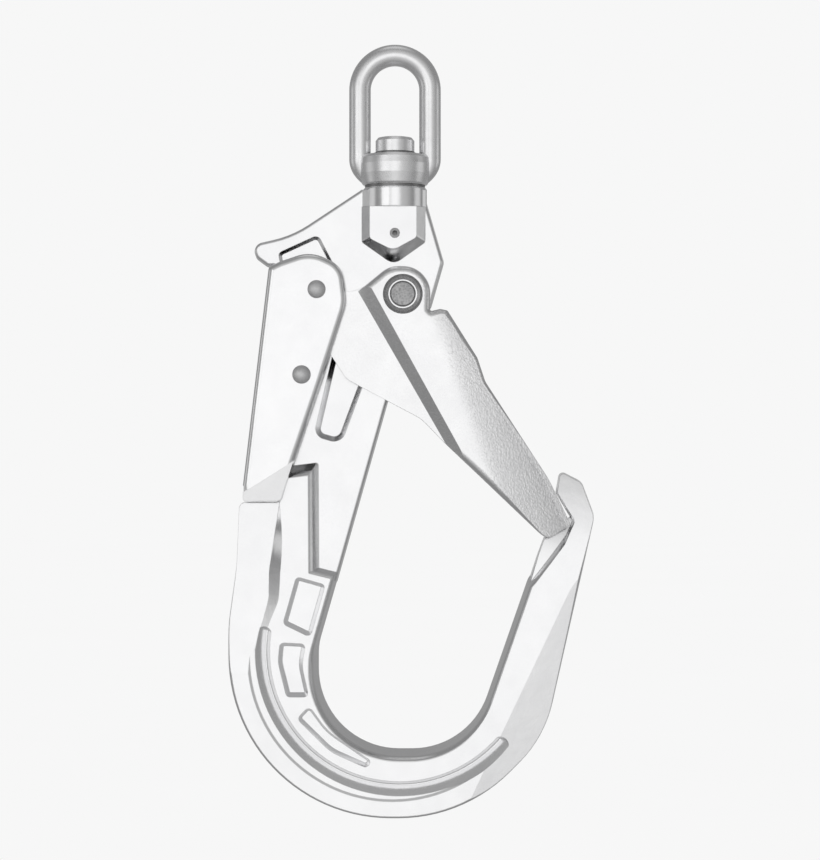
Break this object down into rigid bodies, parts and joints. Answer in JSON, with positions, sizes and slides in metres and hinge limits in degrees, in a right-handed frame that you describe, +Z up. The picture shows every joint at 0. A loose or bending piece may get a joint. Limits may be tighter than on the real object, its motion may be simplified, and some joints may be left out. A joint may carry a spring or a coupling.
{
  "type": "swivel scaffold hook",
  "caption": "Large forged snap hook with a sprung inward-opening gate, a palm-side lock lever and a swivel eye, for clipping a fall-arrest lanyard to scaffold tube.",
  "frame": {"origin": "inside crown of the swivel eye, where the lanyard bears", "axes": "+Z up along the swivel axis, +X across the hook from the spine towards the nose, +Y through its thickness (front face looks along -Y)"},
  "size_m": [0.1206, 0.0236, 0.2548],
  "materials": {
    "forged_aluminium": "bright satin, tumbled",
    "polished_steel": "polished",
    "gate_steel": "zinc plated, grainy",
    "lever_steel": "zinc plated, smooth",
    "pivot_pin_steel": "textured riveted end",
    "rivet_steel": "satin",
    "bush_steel": "bright turned",
    "ring_steel": "pressed, satin",
    "washer_steel": "satin",
    "spring_steel": "drawn wire"
  },
  "bodies": {
    "eye": {"swivel_eye": "polished_steel"},
    "hook": {"hook_body": "forged_aluminium", "swivel_stem": "polished_steel", "swivel_head_washer": "washer_steel", "swivel_thrust_washer": "washer_steel", "stem_roll_pin": "spring_steel", "gate_pivot_pin": "pivot_pin_steel", "gate_pivot_bush": "bush_steel", "gate_spring_front": "spring_steel", "gate_spring_back": "spring_steel", "lever_pivot_rivet": "rivet_steel", "lever_pivot_bush": "bush_steel", "lever_spring_front": "spring_steel", "lever_spring_back": "spring_steel"},
    "gate": {"gate": "gate_steel", "gate_washer_front": "ring_steel", "gate_washer_back": "ring_steel"},
    "lever": {"lock_lever": "lever_steel", "lock_pin": "rivet_steel", "lever_shim_front": "washer_steel", "lever_shim_back": "washer_steel"}
  },
  "joints": [
    {"name": "eye_swivel", "type": "hinge", "parent": "eye", "child": "hook", "pos_m": [0, 0, -0.035], "axis": [0, 0, 1], "continuous": true},
    {"name": "gate_open", "type": "hinge", "parent": "hook", "child": "gate", "pos_m": [0.0026, 0, -0.0756], "axis": [0, 1, 0], "range_deg": [0, 46], "stiffness_Nm_per_rad": 0.25, "springref_deg": -34.38, "deforming": ["gate_spring_front", "gate_spring_back"]},
    {"name": "lever_press", "type": "hinge", "parent": "hook", "child": "lever", "pos_m": [-0.0304, 0, -0.1019], "axis": [0, -1, 0], "range_deg": [0, 13.4], "stiffness_Nm_per_rad": 0.2, "springref_deg": -28.65, "deforming": ["lever_spring_front", "lever_spring_back"]}
  ],
  "couplings": [
    {"joint": "lever_press", "follows": "gate_open", "ratio": 0.2913}
  ]
}
